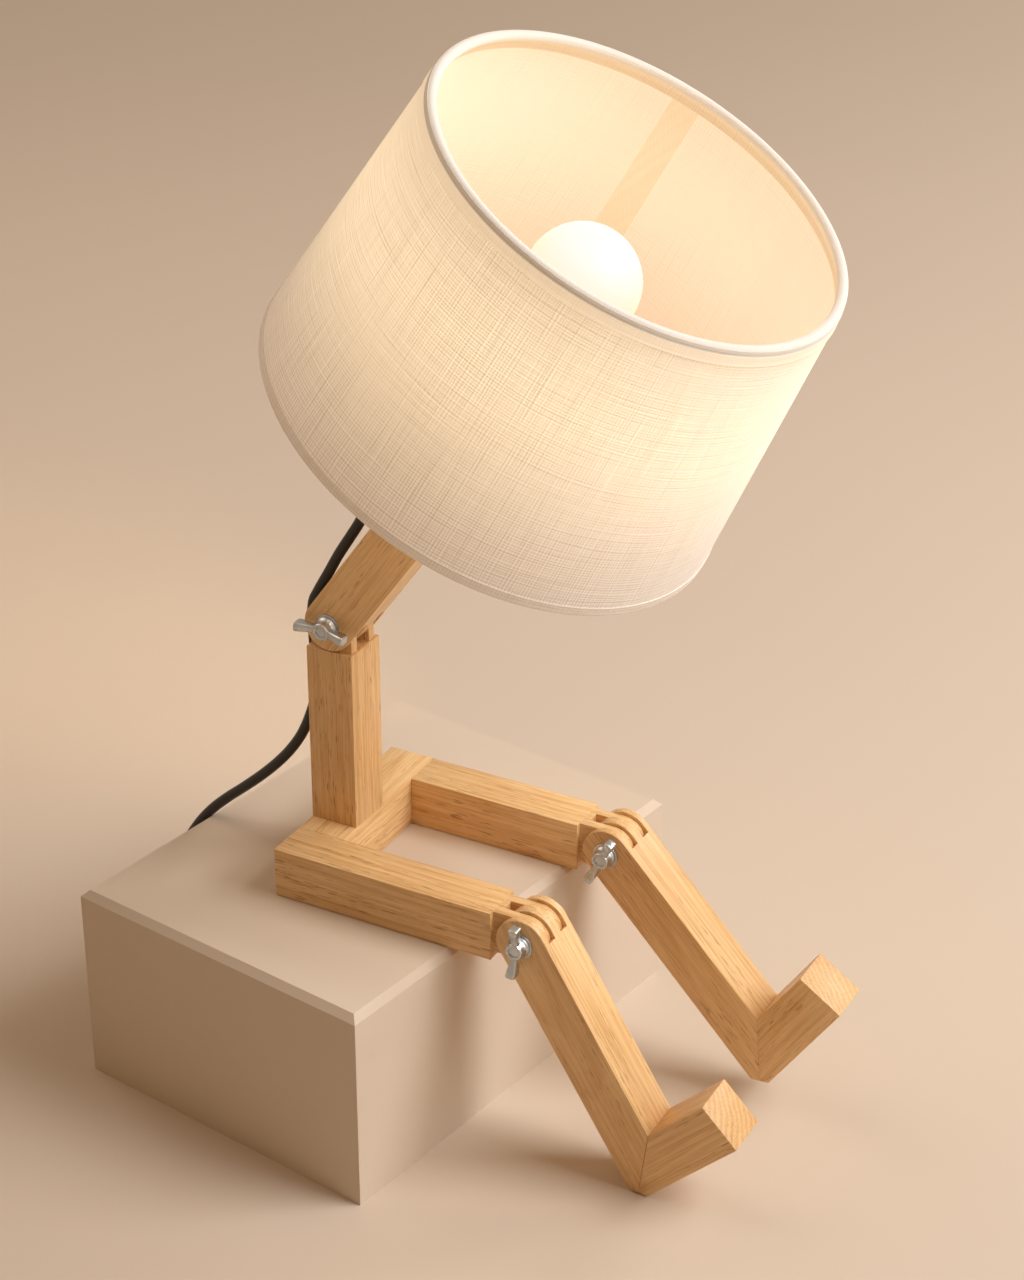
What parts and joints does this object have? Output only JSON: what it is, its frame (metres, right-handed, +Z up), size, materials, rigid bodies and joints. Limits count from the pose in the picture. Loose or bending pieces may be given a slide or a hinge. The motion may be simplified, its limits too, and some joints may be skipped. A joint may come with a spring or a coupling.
{
  "type": "table lamp",
  "caption": "Table lamp shaped as a seated wooden figure, with a hinged neck and knees on wing-nut bolts, a tapered linen drum shade as its head and a corded inline switch.",
  "frame": {"origin": "on the underside of the hip crossbar, in the seat's middle plane and below the crossbar's middle line", "axes": "+X forward, the way the thighs point; +Y to the figure's left; +Z up"},
  "size_m": [0.4834, 0.3706, 0.6144],
  "materials": {
    "beech": "satin oiled",
    "dowel_beech": "raw",
    "zinc": "zinc plated, satin",
    "brass": "plain",
    "black_plastic": "matte",
    "cord_rubber": "matte",
    "white_wire": "white coated wire",
    "porcelain": "unglazed",
    "liner_film": "translucent, matte",
    "linen": "plain weave with slubs",
    "binding": "rolled edge",
    "opal_glass": "opal, lit",
    "rocker_plastic": "satin"
  },
  "bodies": {
    "seat": {"hip_crossbar": "beech", "right_thigh": "beech", "left_thigh": "beech", "seat_dowels": "dowel_beech", "torso_post": "beech", "post_screws": "zinc", "cord_drop": "cord_rubber", "switch_base": "black_plastic", "switch_cover": "black_plastic", "switch_contacts": "brass", "switch_screws": "zinc", "switch_sleeves": "cord_rubber", "cord_coil": "cord_rubber", "coil_tie": "cord_rubber", "plug_body": "black_plastic", "plug_pins": "zinc", "plug_sleeve": "cord_rubber"},
    "head": {"neck_arm": "beech", "neck_bolt": "zinc", "neck_washer": "zinc", "holder_nipple": "brass", "holder_nut": "zinc", "holder_cup": "black_plastic", "holder_insert": "porcelain", "terminal_screws": "brass", "centre_contact": "brass", "screw_shell": "brass", "holder_sleeve": "black_plastic", "fitter_ring": "white_wire", "fitter_arms": "white_wire", "shade_clamp_ring": "black_plastic", "low_wire_ring": "white_wire", "top_wire_ring": "white_wire", "shade_liner": "liner_film", "shade_linen": "linen", "seam_strip": "linen", "top_binding": "binding", "low_binding": "binding", "bulb_globe": "opal_glass", "bulb_cap": "zinc", "bulb_tip": "black_plastic", "cord_bushing": "cord_rubber", "cord_inner": "cord_rubber"},
    "neck_nut": {"neck_wing_nut": "zinc"},
    "right_leg": {"right_shin": "beech", "right_foot": "beech", "right_foot_dowel": "dowel_beech", "right_knee_bolt": "zinc", "right_knee_washer": "zinc"},
    "right_nut": {"right_knee_wing_nut": "zinc"},
    "left_leg": {"left_shin": "beech", "left_foot": "beech", "left_foot_dowel": "dowel_beech", "left_knee_bolt": "zinc", "left_knee_washer": "zinc"},
    "left_nut": {"left_knee_wing_nut": "zinc"},
    "rocker": {"switch_rocker": "rocker_plastic"}
  },
  "joints": [
    {"name": "neck_tilt", "type": "hinge", "parent": "seat", "child": "head", "pos_m": [0, -0.009, 0.1555], "axis": [0, 1, 0], "range_deg": [-50, 40], "deforming": ["cord_drop"]},
    {"name": "right_knee", "type": "hinge", "parent": "seat", "child": "right_leg", "pos_m": [0.1425, -0.0515, 0.0165], "axis": [0, 1, 0], "range_deg": [-78.4, 31.6]},
    {"name": "left_knee", "type": "hinge", "parent": "seat", "child": "left_leg", "pos_m": [0.1425, 0.0515, 0.0165], "axis": [0, 1, 0], "range_deg": [-66.8, 43.2]},
    {"name": "neck_nut_turn", "type": "hinge", "parent": "head", "child": "neck_nut", "pos_m": [0, -0.009, 0.1555], "axis": [0, -1, 0], "continuous": true},
    {"name": "right_nut_turn", "type": "hinge", "parent": "right_leg", "child": "right_nut", "pos_m": [0.1425, -0.0515, 0.0165], "axis": [0, -1, 0], "continuous": true},
    {"name": "left_nut_turn", "type": "hinge", "parent": "left_leg", "child": "left_nut", "pos_m": [0.1425, 0.0515, 0.0165], "axis": [0, -1, 0], "continuous": true},
    {"name": "rocker_press", "type": "hinge", "parent": "seat", "child": "rocker", "pos_m": [-0.111, 0.016, -0.1126], "axis": [1, 0, 0], "range_deg": [-16, 0]}
  ]
}
